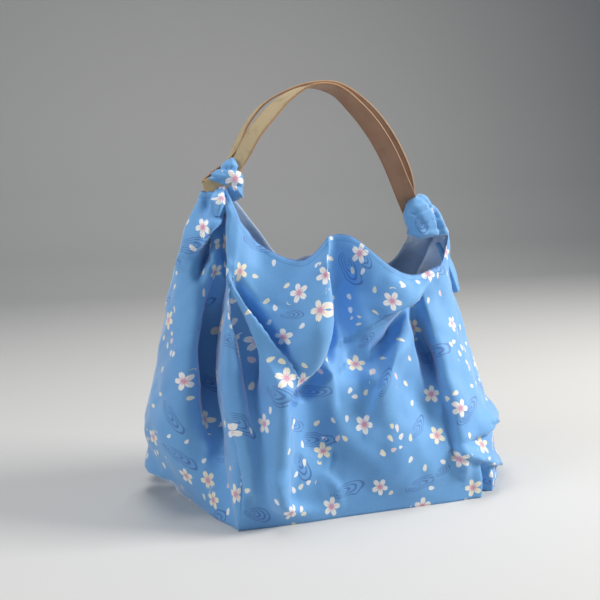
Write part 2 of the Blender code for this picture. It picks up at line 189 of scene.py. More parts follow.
creases = {
    "roll line": ("front", -184, 288, -174, 316, -152, 356, -8, -26, -5, 11, 11, 0, 0.2),
    "corner valley": ("front", -158, 290, -162, 180, -153, 44, -4, -24, -8, 32, 8, 0, 0.3),
    "middle valley": ("front", -151, 276, -136, 214, -131, 156, -4, -25, -4, 15, 7, 0, 0.3),
    "nose foot": ("front", -100, 176, -112, 90, -107, 46, 3, 10, 10, 34, 15, 2, 0.5),
    "nose curl": ("front", -108, 60, -102, 24, -50, 10, 8, 9, 1, 20, 15, 2, 0.4),
    "nose dark": ("front", -148, 292, -121, 241, -98, 200, -4, -24, -6, 9, 11, 0, 0.2),
    "cup shade": ("front", -28, 280, -34, 200, -70, 150, -10, -28, -14, 36, 12, 0, 0.2),
    "cowl drape": ("front", -130, 264, -107, 256, -68, 244, -1, -1.6, -0.4, 9, 7, 0, 0.8),
    "cowl curl": ("front", -62, 312, -50, 316, -40, 308, 1, 2, 1, 8, 5, 0, 0.6),
    "right lip shade": ("front", -4, 180, 46, 210, 90, 244, -14, -26, -5, 30, 12, 0, 0.2),
    "hump dent": ("front", 4, 300, -6, 262, -20, 228, -2, -5, -3, 26, 18, 0, 0.2),
    "fan valley": ("front", 92, 244, 97, 190, 102, 120, -8, -32, -6, 18, 9, 0, 0.2),
    "panel shade": ("front", 116, 56, 105, 150, 96, 220, -8, -8, -2, 14, 8, 0, 0.3),
    "flap shade": ("front", 200, 76, 160, 70, 124, 72, -4, -4, -1, 8, 7, 0, 0.4),
    "flap hollow": ("front", 161, -20, 161, 14, 158, 40, -24, -24, -3, 9, 9, 0, 0.2),
    "hollow edge": ("front", 170, -20, 170, 12, 172, 34, 4, 8, 0, 26, 8, 2, 0),
    "panel foot": ("front", 148, 48, 149, 24, 149, 2, 2, 5, 3, 14, 6, 0, 0.2),
    "low ridge": ("front", -60, 56, -40, 40, -36, 14, 1, 3, 1, 13, 10, 0, 0.6),
    "low short": ("front", -38, 86, -41, 72, -47, 58, -1, -3, -1, 7, 6, 0, 1),
    "low pucker": ("front", -85, 84, -84, 70, -87, 56, -1, -2, -1, 6, 5, 0, 1),
}
# the axis along each face, the axis through it, the way out, and which way its left hand lies
faceAxes = {
    "front": (0, 1, -1, 1), "back": (0, 1, 1, -1), "left": (1, 0, -1, -1), "right": (1, 0, 1, 1),
}


def ribGrid(columns, rows):
    # hermite round the ribs at each level, then hermite up through the levels
    table = np.array(list(ribs.values()), float)
    levels = np.array(bag["levels"])
    flat = table[:, :-1].reshape(len(table), len(levels), 2)
    high = levels[None, :, None] * table[:, -1][:, None, None]
    lines = np.concatenate([flat, high], axis=2)
    knots = loopLengths(lines[:, 1:4, :2].mean(axis=1))
    hidden = np.array(["back" in name or "gusset" in name for name in ribs])
    shares = np.cumsum(np.diff(knots) * np.where(hidden, bag["coarse"], 1.0))
    count = np.append(0.0, shares) / shares[-1] * columns
    around = np.interp(np.arange(columns), count, knots)
    rings = np.stack([closedHermite(knots, lines[:, k], around) for k in range(len(levels))])
    grid = hermite(levels, rings.reshape(len(levels), -1), np.linspace(0.0, 1.0, rows + 1))
    tucked = np.array(["gusset" in name for name in ribs], float)
    shown = 1.0 - np.interp(around, knots, np.append(tucked, tucked[0]))
    tips = [round(count[list(ribs).index(side + " gusset tip")]) for side in ("left", "right")]
    return grid.reshape(rows + 1, columns, 3), shown, tips


def outward(grid):
    # cross product of the steps across and up, made unit
    across = np.roll(grid, -1, axis=1) - np.roll(grid, 1, axis=1)
    return unit(np.cross(across, np.gradient(grid, axis=0)))


def fromHem(grid):
    # length left up each column to its hem
    up = np.linalg.norm(np.diff(grid, axis=0), axis=2)
    return np.concatenate([np.cumsum(up[::-1], axis=0)[::-1], np.zeros((1, grid.shape[1]))])


def nearestOnLine(place, line):
    # on each segment the foot of the perpendicular, held to its ends; then the nearest foot of all
    way, rel = np.diff(line, axis=0), place[..., None, :] - line[:-1]
    t = np.clip((rel * way).sum(axis=-1) / (way**2).sum(axis=-1), 0.0, 1.0)
    gone = rel - t[..., None] * way
    off = np.hypot(gone[..., 0], gone[..., 1])
    share = (np.arange(len(way)) + t) / len(way)
    side = way[:, 0] * gone[..., 1] - way[:, 1] * gone[..., 0]
    pick = off.argmin(axis=-1)[..., None]
    return (np.take_along_axis(value, pick, -1)[..., 0] for value in (off, share, side))


def pressFolds(grid, shown, table):
    # a fold's line is the parabola through start, bend and end; near it the cloth moves along its
    # normal by height * crest, and to the left by lean * crest^2 * height / the most height, both
    # less near the hem and where the cloth turns away from the fold's face
    normal = outward(grid)
    guard = smooth(fromHem(grid) / bag["hemGuard"]) * shown
    moved = grid.copy()
    t = np.linspace(0.0, 1.0, bag["lineSteps"] + 1)[:, None]
    for row in table.values():
        along, through, out, hand = faceAxes[row[0]]
        start, bend, end = (np.array(row[i : i + 2], float) for i in (1, 3, 5))
        heights = np.array(row[7:10], float)
        wide, steep, lean, sharp = row[10:]
        pull = 2 * bend - (start + end) / 2
        line = (1 - t) ** 2 * start + 2 * t * (1 - t) * pull + t**2 * end
        off, share, side = nearestOnLine(grid[..., [along, 2]], line)
        rise = crest(off, np.where(side * hand > 0, steep, wide), sharp)
        height = hermite(np.array([0.0, 0.5, 1.0]), heights[:, None], share.ravel())
        height = height.reshape(share.shape)
        facing = smooth(between(bag["facing"], out * normal[..., through])) * guard
        moved += normal * (height * rise * facing)[..., None]
        way = np.gradient(line, axis=0)
        left = unit(np.stack([-way[:, 1], way[:, 0]], axis=1)) * hand
        pick = left[np.round(share * bag["lineSteps"]).astype(int)]
        slip = lean * np.abs(height) / np.abs(heights).max() * rise**2 * facing
        moved[..., [along, 2]] += pick * slip[..., None]
    return moved


# small waves: length and height of each set, waves in a set, and the pace of their second sine
ripples = {
    "sets": ((90, 0.54), (62, 0.42), (41, 0.3), (27, 0.18)), "each": 4, "pace": 0.37,
    "ground": 40.0, "seed": 11,
}


def rumple(grid, flat):
    # along the normal by the sum of height * sine * sine over the flat cloth, fading to the ground;
    # directions and phases are seeded
    rng = np.random.default_rng(ripples["seed"])
    waves = np.zeros(grid.shape[:2])
    for length, height in ripples["sets"]:
        for _ in range(ripples["each"]):
            turn, phase = rng.uniform(0, 2 * np.pi, 2)
            way = np.array([np.cos(turn), np.sin(turn)]) * 2 * np.pi / length
            second = np.sin(flat @ way[::-1] * ripples["pace"] + turn)
            waves += height * np.sin(flat @ way + phase) * second
    fade = smooth(grid[..., 2] / ripples["ground"])
    return grid + outward(grid) * (waves * fade)[..., None]


# laying flat: grid pace and rounds of each stage, how much of an error one round takes up, and
# where the back, the knots (the first, and the step to the next) and the base lie in the flat plane
laying = {
    "stages": ((6, 600), (3, 400), (2, 250)), "share": 0.1, "back": 3000.0, "knots": (900.0, 200.0),
    "base": 6000.0,
}


def flatten(points, start, rounds):
    # rest lengths along, up and both diagonals; each round moves both ends a share of the error
    flat = start.copy()
    whole, head, tail = slice(None), slice(0, -1), slice(1, None)
    ways = (
        ((whole, head), (whole, tail)), ((head, whole), (tail, whole)),
        ((head, head), (tail, tail)), ((head, tail), (tail, head)),
    )
    pairs = [(a, b, np.linalg.norm(points[b] - points[a], axis=-1)) for a, b in ways]
    for _ in range(rounds):
        push = np.zeros_like(flat)
        for a, b, rest in pairs:
            gap = flat[b] - flat[a]
            length = np.maximum(np.sqrt((gap**2).sum(axis=-1)), 1e-6)
            move = gap * (1.0 - rest / length)[..., None]
            push[a] += move
            push[b] -= move
        flat += push * laying["share"]
    return flat


def spread(coarse, rows, columns):
    # bilinear from a small grid to one of rows and columns
    y = np.linspace(0, coarse.shape[0] - 1, rows)
    x = np.linspace(0, coarse.shape[1] - 1, columns)
    i = np.minimum(y.astype(int), coarse.shape[0] - 2)
    j = np.minimum(x.astype(int), coarse.shape[1] - 2)
    s, t = (y - i)[:, None, None], (x - j)[None, :, None]
    low, high = (coarse[k][:, j] * (1 - t) + coarse[k][:, j + 1] * t for k in (i, i + 1))
    return low * (1 - s) + high * s


def flatCloth(grid, tips):
    # the front between the gusset tips and the back are laid flat one by one, the back far away;
    # each starts as lengths along and up, and is eased on finer and finer grids
    rows, columns = grid.shape[:2]
    left, right = tips
    front = np.arange(left - columns, right) % columns
    flat = np.zeros((rows, columns, 2))
    for chart, far in ((front, 0.0), (np.arange(right, left), laying["back"])):
        laid = None
        for pace, rounds in laying["stages"]:
            pickRows = np.linspace(0, rows - 1, rows // pace).round().astype(int)
            pickColumns = np.linspace(0, len(chart) - 1, len(chart) // pace).round().astype(int)
            points = grid[pickRows][:, chart[pickColumns]]
            if laid is None:
                along, up = (np.linalg.norm(np.diff(points, axis=k), axis=2) for k in (1, 0))
                u = np.append(0.0, np.cumsum(along[len(points) // 2]))
                v = np.concatenate([np.zeros((1, points.shape[1])), np.cumsum(up, axis=0)])
                laid = np.stack([np.broadcast_to(u, v.shape), v], axis=-1)
            laid = flatten(points, spread(laid, *points.shape[:2]), rounds)
        flat[:, chart] = spread(laid, rows, len(chart)) + (far, 0.0)
    return flat


def meshPiece(name, points, faces, fields, finishes):
    # points from mm to metres; each field is a point attribute, a vector where it has columns
    mesh = bpy.data.meshes.new(name)
    mesh.from_pydata((points * mm).tolist(), [], faces)
    for field, values in fields.items():
        kind, label = ("FLOAT_VECTOR", "vector") if values.ndim == 2 else ("FLOAT", "value")
        data = mesh.attributes.new(field, kind, "POINT").data
        data.foreach_set(label, values.ravel())
    mesh.shade_smooth()
    for finish in finishes:
        mesh.materials.append(finish)
    piece = bpy.data.objects.new(name, mesh)
    bpy.context.scene.collection.objects.link(piece)
    return piece


def gridFaces(rows, columns, closed=True):
    # quads r, c; r, c+1; r+1, c+1; r+1, c over rows and columns of points
    across = np.arange(columns if closed else columns - 1)
    r, c = np.meshgrid(np.arange(rows), across, indexing="ij")
    near = (c + 1) % columns
    corners = [r * columns + c, r * columns + near, (r + 1) * columns + near, (r + 1) * columns + c]
    return np.stack(corners, axis=-1).reshape(-1, 4)


def fanFaces(count):
    # triangles 0, c+1, c from point 0 to the ring of count points after it
    turn = np.arange(count)
    return np.stack([0 * turn, 1 + (turn + 1) % count, 1 + turn], axis=1)


# the wall before and after its folds; the print's places are worked out halfway between the two
smoothWall, shownColumns, gussetTips = ribGrid(bag["columns"], bag["rows"])
wall = pressFolds(smoothWall, shownColumns, {**folds, **creases})
print("cloth folded", wall.shape)
flatPlace = flatCloth((wall + smoothWall) / 2, gussetTips)
print("cloth laid flat")
wall = rumple(wall, flatPlace)
wall[..., 2] = np.maximum(wall[..., 2], 0.0)
wall[0, :, 2] = 0.0
print("cloth rumpled")


def newGroup(name, inputs, outputs):
    # an input of a shader group is a vector where its value is None, else a number, as outputs are
    group = bpy.data.node_groups.new(name, "ShaderNodeTree")
    for label, value in inputs.items():
        kind = "NodeSocketVector" if value is None else "NodeSocketFloat"
        socket = group.interface.new_socket(label, in_out="INPUT", socket_type=kind)
        if value is not None:
            socket.default_value = value
    for label in outputs:
        group.interface.new_socket(label, in_out="OUTPUT", socket_type="NodeSocketFloat")
    return group.nodes.new("NodeGroupInput").outputs, group.nodes.new("NodeGroupOutput")


def feed(socket, value):
    # links an output to the socket, or sets its value
    if hasattr(value, "is_output"):
        socket.id_data.links.new(value, socket)
    else:
        socket.default_value = value


def give(end, **values):
    # feeds each named output of a group and gives the group back
    for label, value in values.items():
        feed(end.inputs[label], value)
    return end.id_data


def owner(*values):
    # the node tree of the first value that is a socket
    return next(value.id_data for value in values if hasattr(value, "is_output"))


def newNode(tree, kind, inputs, **settings):
    # a node with its settings, then its inputs by name or place
    node = tree.nodes.new("ShaderNode" + kind)
    for label, value in settings.items():
        setattr(node, label, value)
    for label, value in inputs.items():
        feed(node.inputs[label], value)
    return node.outputs


def calc(operation, *values):
    # one math node
    return newNode(owner(*values), "Math", dict(enumerate(values)), operation=operation)[0]


def times(first, *others):
    # product of all the values
    for value in others:
        first = calc("MULTIPLY", first, value)
    return first


def minus(a, b):
    # a - b
    return calc("SUBTRACT", a, b)


def radial(x, y):
    # sqrt(x^2 + y^2)
    return calc("SQRT", calc("MULTIPLY_ADD", x, x, times(y, y)))


def bow(t):
    # sqrt(1 - t^2), and 0 past 1
    return calc("SQRT", calc("MAXIMUM", minus(1.0, times(t, t)), 0.0))


def step(value, low, high):
    # 0 before low, 1 after high, smooth between; low may be above high
    inputs = {"Value": value, "From Min": low, "From Max": high}
    return newNode(owner(value), "MapRange", inputs, interpolation_type="SMOOTHSTEP")[0]


def mix(share, a, b, blend="MIX"):
    # colour a to colour b by share
    a, b = (colour if hasattr(colour, "is_output") else (*colour, 1.0) for colour in (a, b))
    inputs = {0: share, 6: a, 7: b}
    return newNode(owner(share, a, b), "Mix", inputs, data_type="RGBA", blend_type=blend)[2]


def noise(place, scale, detail, dimensions="2D"):
    # noise over a place in metres
    inputs = {"Vector": place, "Scale": scale, "Detail": detail}
    return newNode(owner(place), "TexNoise", inputs, noise_dimensions=dimensions)[0]


def parts(vector):
    # x, y and z of a vector
    return newNode(owner(vector), "SeparateXYZ", {0: vector})


# shares of a blossom's radius; a pair is where a soft step starts and ends
blossomSizes = {
    "petals": 5, "middle": 0.6, "reach": 0.42, "half": 0.31, "edge": (0.0, 0.05), "notch": 2.2,
    "notchEdge": (0.08, 0.16), "heart": (0.52, 0.12), "vein": (0.055, 0.02), "veinEnd": (0.62, 0.4),
}


def blossomGroup():
    # the plane is cut in sectors and each turned onto one petal, whose half width is
    # half * sqrt(1 - ((along - middle) / reach)^2); it ends where 1 - along + notch * aside is small
    sizes = blossomSizes
    start, end = newGroup("blossom", {"Local": None}, ("Petals", "Heart", "Veins"))
    x, y, near = parts(start["Local"])
    radius = radial(x, y)
    sector = 2 * np.pi / sizes["petals"]
    turns = calc("FRACT", calc("MULTIPLY_ADD", calc("ARCTAN2", y, x), 1 / sector, 0.5))
    swing = times(minus(turns, 0.5), sector)
    along = times(radius, calc("COSINE", swing))
    aside = calc("ABSOLUTE", times(radius, calc("SINE", swing)))
    middled = calc("DIVIDE", minus(along, sizes["middle"]), sizes["reach"])
    inside = step(minus(times(bow(middled), sizes["half"]), aside), *sizes["edge"])
    notch = minus(calc("MULTIPLY_ADD", aside, sizes["notch"], 1.0), along)
    return give(
        end,
        Petals=times(inside, step(notch, *sizes["notchEdge"]), near),
        Heart=times(step(radius, *sizes["heart"]), near),
        Veins=times(step(aside, *sizes["vein"]), step(along, *sizes["veinEnd"]), near),
    )


# shares of a loose petal's half length
petalSizes = {
    "random": 0.85, "half": 0.64, "swell": 0.25, "edge": (0.0, 0.14), "notch": 1.6,
    "notchEdge": (0.12, 0.28),
}


def petalGroup():
    # a petal about the point of each cell of a flat Voronoi, turned and kept by the cell's colour;
    # its half width is half * sqrt(1 - along^2) * (1 + swell * along), its end as the blossom's
    sizes = petalSizes
    inputs = {"Flat": None, "Cell": 0.02, "Kept": 0.5, "Length": 0.0042}
    start, end = newGroup("loose petals", inputs, ("Petals", "Tone"))
    inputs = {0: start["Flat"], "Scale": calc("DIVIDE", 1.0, start["Cell"])}
    place = newNode(end.id_data, "VectorMath", inputs, operation="SCALE")[0]
    inputs = {"Vector": place, "Scale": 1.0, "Randomness": sizes["random"]}
    cells = newNode(end.id_data, "TexVoronoi", inputs, voronoi_dimensions="2D")
    x, y, _ = parts(place)
    pointX, pointY, _ = parts(cells["Position"])
    red, green, blue = parts(cells["Color"])
    x, y, turn = minus(x, pointX), minus(y, pointY), times(red, 2 * np.pi)
    cosine, sine = calc("COSINE", turn), calc("SINE", turn)
    grow = calc("DIVIDE", start["Cell"], start["Length"])
    along = times(calc("MULTIPLY_ADD", x, cosine, times(y, sine)), grow)
    aside = calc("ABSOLUTE", times(minus(times(y, cosine), times(x, sine)), grow))
    half = times(bow(along), sizes["half"], calc("MULTIPLY_ADD", along, sizes["swell"], 1.0))
    inside = step(minus(half, aside), *sizes["edge"])
    notch = minus(calc("MULTIPLY_ADD", aside, sizes["notch"], 1.0), along)
    kept = calc("LESS_THAN", green, start["Kept"])
    return give(end, Petals=times(inside, step(notch, *sizes["notchEdge"]), kept), Tone=blue)


# shares of a water loop's half length, and the noise that bends it
waterSizes = {
    "focus": 0.42, "skew": -0.45, "lines": 5.2, "line": (0.26, 0.12), "outer": (0.80, 0.72),
    "inner": (0.06, 0.12), "gapTurn": 2.2, "gap": (0.15, 0.5), "bend": 0.7, "noise": (45.0, 1.0),
}


def waterGroup():
    # nested loops that share a focus: lines at equal steps of r + skew * x, bent by noise, with a gap
    sizes = waterSizes
    start, end = newGroup("flowing water", {"Local": None, "Flat": None}, ("Lines",))
    x, y, near = parts(start["Local"])
    bent = minus(noise(start["Flat"], *sizes["noise"]), 0.5)
    y = calc("MULTIPLY_ADD", bent, sizes["bend"], y)
    x = calc("ADD", x, sizes["focus"])
    radius = calc("MULTIPLY_ADD", x, sizes["skew"], radial(x, y))
    wave = calc("ABSOLUTE", minus(calc("FRACT", times(radius, sizes["lines"])), 0.5))
    away = calc("ABSOLUTE", minus(calc("ARCTAN2", y, x), sizes["gapTurn"]))
    ring = times(step(radius, *sizes["outer"]), step(radius, *sizes["inner"]))
    return give(end, Lines=times(step(wave, *sizes["line"]), ring, step(away, *sizes["gap"]), near))


# metres from thread to thread, and how much of the height is thread and how much is noise
weaveSizes = {"thread": 0.0007, "threads": 0.25, "noise": (260.0, 3.0), "slub": 0.5}


def weaveGroup():
    # fine cross threads: product of two sines over the flat cloth, plus a little noise
    sizes = weaveSizes
    start, end = newGroup("weave", {"Flat": None}, ("Height", "Shade"))
    u, v, _ = parts(start["Flat"])
    warp, weft = (calc("SINE", times(way, 2 * np.pi / sizes["thread"])) for way in (u, v))
    cross = times(warp, weft, sizes["threads"])
    shade = noise(start["Flat"], *sizes["noise"])
    return give(end, Height=calc("MULTIPLY_ADD", shade, sizes["slub"], cross), Shade=shade)


# metres in from the cut edge
hemSizes = {
    "rim": (0.0018, 0.0010), "band": (0.0078, 0.0068), "lineIn": (0.0092, 0.0080),
    "lineOut": (0.0064, 0.0076),
}


def hemGroup():
    # by the distance from the edge: the rim itself, the flat band and the line where its fold ends
    sizes = hemSizes
    start, end = newGroup("hem", {"Distance": 1.0}, ("Rim", "Band", "Line"))
    far = start["Distance"]
    line = times(step(far, *sizes["lineIn"]), step(far, *sizes["lineOut"]))
    return give(end, Rim=step(far, *sizes["rim"]), Band=step(far, *sizes["band"]), Line=line)


groups = {
    "blossom": blossomGroup(), "petals": petalGroup(), "water": waterGroup(),
    "weave": weaveGroup(), "hem": hemGroup(),
}


def useGroup(tree, name, **sockets):
    # a group node with its sockets fed
    return newNode(tree, "Group", sockets, node_tree=groups[name])


def attribute(tree, name, output="Fac"):
    # a named point attribute
    return newNode(tree, "Attribute", {}, attribute_name=name)[output]


def newFinish(name):
    # a material and its node tree
    finish = bpy.data.materials.new(name)
    finish.use_nodes = True
    return finish, finish.node_tree


def setShader(tree, values, height=None, strength=0.0, distance=0.0):
    # each named input of the main shader, and a bump
    shader = tree.nodes["Principled BSDF"]
    for label, value in values.items():
        feed(shader.inputs[label], value)
    if height is not None:
        inputs = {"Height": height, "Strength": strength, "Distance": distance}
        feed(shader.inputs["Normal"], newNode(tree, "Bump", inputs)[0])


def over(colour, top, share, strength):
    # top laid over colour by share * strength
    return mix(times(share, strength), colour, top)


cottonColours = {
    "ground": (0.165, 0.415, 0.770),
    "deep": (0.090, 0.260, 0.620),
    "cream": (0.93, 0.86, 0.66),
    "white": (0.95, 0.93, 0.92),
    "pink": (0.86, 0.36, 0.44),
    "blush": (0.88, 0.70, 0.72),
    "line": (0.075, 0.17, 0.46),
    "pale": (0.70, 0.82, 0.99),
}
# how strong each layer of the print is, and the main shader's numbers
cottonLook = {
    "cloud": (9.0, 1.0), "cloudEdge": (0.45, 0.7), "clouds": 0.16, "water": 0.78,
    "cells": (0.025, 0.0135), "halves": (0.0044, 0.0046), "kept": 0.42,
    "shower": (0.015, 0.865),  # share kept in the second layer outside a shower and in its middle
    "clear": (0.6, 0.4), "whiter": (0.35, 0.6), "blushed": (0.86, 0.9), "petals": 0.92,
    "flowerWhiter": (0.3, 0.7), "heart": 0.75, "heartGap": 0.7, "veins": 0.5,
    "hemLine": 0.5, "hemRim": 0.7, "hemHeight": 2.5, "thread": (0.94, 1.06), "bump": (0.25, 0.0002),
    "shader": {
        "Roughness": 0.62, "Sheen Weight": 0.6, "Sheen Roughness": 0.4, "Specular IOR Level": 0.35,
    },
}


def cotton(name, fade):
    # ground, then water lines, loose petals, blossoms and hem over it; fade mixes all towards the
    # pale reverse, partly its own paleness and partly painted light, and the weave's shade
    # multiplies the result
    finish, tree = newFinish(name)
    look, colours = cottonLook, cottonColours
    flat, bloom = attribute(tree, "flat", "Vector"), attribute(tree, "bloom", "Vector")
    weave = useGroup(tree, "weave", Flat=flat)
    water = useGroup(tree, "water", Local=attribute(tree, "swirl", "Vector"), Flat=flat)
    flower = useGroup(tree, "blossom", Local=bloom)
    hem = useGroup(tree, "hem", Distance=attribute(tree, "hem"))
    cloud = step(noise(flat, *look["cloud"]), *look["cloudEdge"])
    colour = over(colours["ground"], colours["deep"], cloud, look["clouds"])
    colour = over(colour, colours["line"], water["Lines"], look["water"])
    few, many = look["shower"]
    shower = calc("MULTIPLY_ADD", attribute(tree, "thick"), many - few, few)
    clear = step(parts(bloom)[2], *look["clear"])
    for cell, kept, half in zip(look["cells"], (look["kept"], shower), look["halves"]):
        loose = useGroup(tree, "petals", Flat=flat, Cell=cell, Kept=kept, Length=half)
        tint = mix(step(loose["Tone"], *look["whiter"]), colours["cream"], colours["white"])
        tint = mix(step(loose["Tone"], *look["blushed"]), tint, colours["blush"])
        colour = over(colour, tint, times(loose["Petals"], clear), look["petals"])
    tone = step(attribute(tree, "bloomTone"), *look["flowerWhiter"])
    petal = mix(tone, colours["cream"], colours["white"])
    petal = over(petal, colours["pink"], flower["Heart"], look["heart"])
    colour = over(colour, colours["pink"], flower["Heart"], look["heartGap"])
    colour = mix(flower["Petals"], colour, petal)
    colour = over(colour, colours["pink"], flower["Veins"], look["veins"])
    colour = over(colour, colours["deep"], hem["Line"], look["hemLine"])
    colour = over(colour, colours["line"], hem["Rim"], look["hemRim"])
    # towards pale: the reverse's own paleness, raised further as painted light on the shaded inside
    colour = mix(fade, colour, colours["pale"])
    low, high = look["thread"]
    shade = calc("MULTIPLY_ADD", weave["Shade"], high - low, low)
    ridge = minus(weave["Height"], hem["Line"])
    height = calc("MULTIPLY_ADD", hem["Band"], look["hemHeight"], ridge)
    values = {"Base Color": mix(1.0, colour, shade, "MULTIPLY"), **look["shader"]}
    setShader(tree, values, height, *look["bump"])
    return finish


# outer and inner are the lit and the shaded look of one leather: painted light on the outer side,
# painted shade on the inner side
leatherColours = {
    "outer": (0.56, 0.43, 0.24),
    "inner": (0.36, 0.20, 0.12),
    "dark": (0.20, 0.10, 0.05),
    "rim": (0.42, 0.21, 0.10),
}
# pores and mottle over metres of strap; edge lines and rims from shares of its half width
leatherLook = {
    "pores": 1400.0, "pore": (0.0, 0.3), "mottle": (60.0, 3.0, "3D"), "mottled": (0.45, 0.75),
    "lineOut": (0.84, 0.87), "lineIn": (0.92, 0.89), "rim": (0.955, 0.985),
    "mottleShare": 0.35, "lineShare": 0.55, "rimShare": 0.8,
    "rough": (0.42, 0.57), "specular": 0.45, "bump": (0.3, 0.0003),
}


def leather():
    # tan grain side with painted light and browner inner side with painted shade, by the side
    # field; darker mottle, edge lines and rims; Voronoi pores less the lines are the bump
    finish, tree = newFinish("strap leather")
    look, colours = leatherLook, leatherColours
    place = attribute(tree, "along", "Vector")
    inputs = {"Vector": place, "Scale": look["pores"]}
    pores = newNode(tree, "TexVoronoi", inputs, feature="DISTANCE_TO_EDGE")["Distance"]
    mottle = step(noise(place, *look["mottle"]), *look["mottled"])
    far = calc("ABSOLUTE", attribute(tree, "across"))
    line = times(step(far, *look["lineOut"]), step(far, *look["lineIn"]))
    # painted light on the outer side, painted shade on the inner side
    colour = mix(attribute(tree, "side"), colours["inner"], colours["outer"])
    colour = over(colour, colours["dark"], mottle, look["mottleShare"])
    colour = over(colour, colours["dark"], line, look["lineShare"])
    colour = over(colour, colours["rim"], step(far, *look["rim"]), look["rimShare"])
    low, high = look["rough"]
    rough = calc("MULTIPLY_ADD", mottle, high - low, low)
    values = {"Base Color": colour, "Roughness": rough, "Specular IOR Level": look["specular"]}
    height = minus(step(pores, *look["pore"]), line)
    setShader(tree, values, height, *look["bump"])
    return finish


cottonFace = cotton("printed cotton", 0.0)
# fade 0.8: the reverse's own paleness plus painted light on the shaded inside of the bag
cottonBack = cotton("cotton reverse", 0.8)
strapFinish = leather()
print("materials made")


# each lump: its middle, its depth to the front and back, how it slants, and its outline as x, z
knots = {
    "left cap": {
        "middle": (-139, -2, 401), "deep": 19, "slope": -0.1,
        "outline": (
            (-163, 401), (-152, 411), (-142, 420), (-134, 425), (-127, 415), (-122, 402),
            (-122, 388), (-126, 380), (-136, 385), (-150, 394),
        ),
    },
    "left under": {
        "middle": (-137, 0, 386), "deep": 14, "slope": 0.0,
        "outline": (
            (-156, 391), (-146, 400), (-132, 400), (-122, 390), (-124, 378), (-132, 372),
            (-142, 376), (-152, 384),
        ),
    },
    "right": {
        "middle": (114, -2, 347), "deep": 21, "slope": 0.25,
        "outline": (
            (84, 354), (88, 365), (98, 373), (108, 377), (118, 373), (129, 361), (139, 347),
            (148, 328), (140, 322), (122, 320), (102, 320), (92, 330),
        ),
    },
}
# steps round and through a lump, the power that squares it, and the depth's divisor in a crease's way
knotSizes = {"around": 56, "down": 33, "power": 0.85, "deep": 0.7}
# knot, startX, startZ, endX, endZ, height, wide, sharp
knotCreases = {
    "cap hem": ("left cap", -162, 398, -124, 380, 5, 5, 0),
    "cap fold": ("left cap", -162, 403, -123, 387, -3.5, 3.5, 0.4),
    "cap pleat": ("left cap", -150, 413, -122, 409, -3.5, 3.5, 0.5),
    "cap peak": ("left cap", -136, 424, -146, 406, -2, 3, 0.8),
    "under twist": ("left under", -150, 392, -134, 374, -2.5, 3, 0.8),
    "right groove": ("right", 122, 370, 133, 322, -7, 6, 0.3),
    "right face": ("right", 124, 364, 142, 324, 2.5, 6, 0),
    "right soft": ("right", 88, 358, 112, 328, -2, 6, 0.5),
    "right fold": ("right", 104, 374, 130, 346, -2.5, 4, 0.6),
    "right cross": ("right", 90, 352, 116, 362, -3, 3.5, 0.6),
    "right pinch": ("right", 98, 338, 124, 344, -2.5, 3.5, 0.6),
    "right hem": ("right", 88, 328, 150, 328, 5.5, 4.5, 0),
    "right top": ("right", 90, 364, 112, 368, -1.5, 3, 1),
}
# rootX, rootY, rootZ, bendX, bendY, bendZ, tipX, tipY, tipZ, half, first width share, hollow
tails = {
    "left": (-147, -17, 388, -153, -32, 374, -158, -32, 356, 12, 0.35, 0.7),
    "right": (141, 10, 312, 153, 0, 276, 166, 2, 246, 10, 0.35, 0.6),
}
# steps along and across, the part of a sine that the width follows, a ripple, and the print's length
leafSizes = {"long": 28, "wide": 12, "sine": (0.12, 0.95), "ripple": (0.25, 5.0), "print": 50.0}


def knotLump(name):
    # spun about the front-back way: across by sin^power of the fall to the outline, deep by its
    # cosine plus slope * x; a crease adds height * crest near its line
    knot = knots[name]
    x, y, z = knot["middle"]
    outline = np.array(knot["outline"], float) - (x, z)
    around, down = knotSizes["around"], knotSizes["down"]
    places = loopLengths(outline)
    ring = closedHermite(places, outline, np.arange(around) / around * places[-1])
    fall = np.linspace(0.0, np.pi, down)
    share = np.sin(fall[1:-1])[:, None, None] ** knotSizes["power"]
    flat = np.pad((share * ring).reshape(-1, 2), ((1, 1), (0, 0)))
    deep = np.concatenate([fall[:1], np.repeat(fall[1:-1], around), fall[-1:]])
    deep = knot["slope"] * flat[:, 0] - np.cos(deep) * knot["deep"]
    points = np.stack([flat[:, 0], deep, flat[:, 1]], axis=1)
    way = unit(points / (1.0, knotSizes["deep"], 1.0))
    for owned, startX, startZ, endX, endZ, height, wide, sharp in knotCreases.values():
        if owned == name:
            line = np.array([(startX - x, startZ - z), (endX - x, endZ - z)], float)
            off, _, _ = nearestOnLine(flat, line)
            rise = crest(off, wide, sharp)
            points = points + way * height * rise[:, None]
    front = fanFaces(around)
    faces = [front, gridFaces(down - 3, around) + 1, len(points) - 1 - front]
    return points + (x, y, z), faces, flat


def tailLeaf(name):
    # middle line by hermite; half width from a first share to all by a sine; hollow by s^2, rippled
    row = np.array(tails[name][:9], float).reshape(3, 3)
    half, first, sag = tails[name][9:]
    long, wide = leafSizes["long"], leafSizes["wide"]
    t, s = np.linspace(0.0, 1.0, long + 1), np.linspace(-1.0, 1.0, wide + 1)
    middle = hermite(np.array([0.0, 0.5, 1.0]), row, t)
    way = unit(np.gradient(middle, axis=0))
    across = unit(np.cross(way, (0.0, 1.0, 0.0)))
    hollow = np.cross(across, way)[:, None]
    width = half * between((first, 1.0), np.sin(np.pi * between(leafSizes["sine"], t)))[:, None]
    height, pace = leafSizes["ripple"]
    dip = sag * width * (s**2 - height * np.cos(pace * s))
    points = middle[:, None] + across[:, None] * (width * s)[..., None] + hollow * dip[..., None]
    flat = np.stack([width * s, np.broadcast_to(t[:, None] * leafSizes["print"], dip.shape)], axis=-1)
    faces = gridFaces(long, wide + 1, False)[:, ::-1]
    return points.reshape(-1, 3), [faces], flat.reshape(-1, 2)
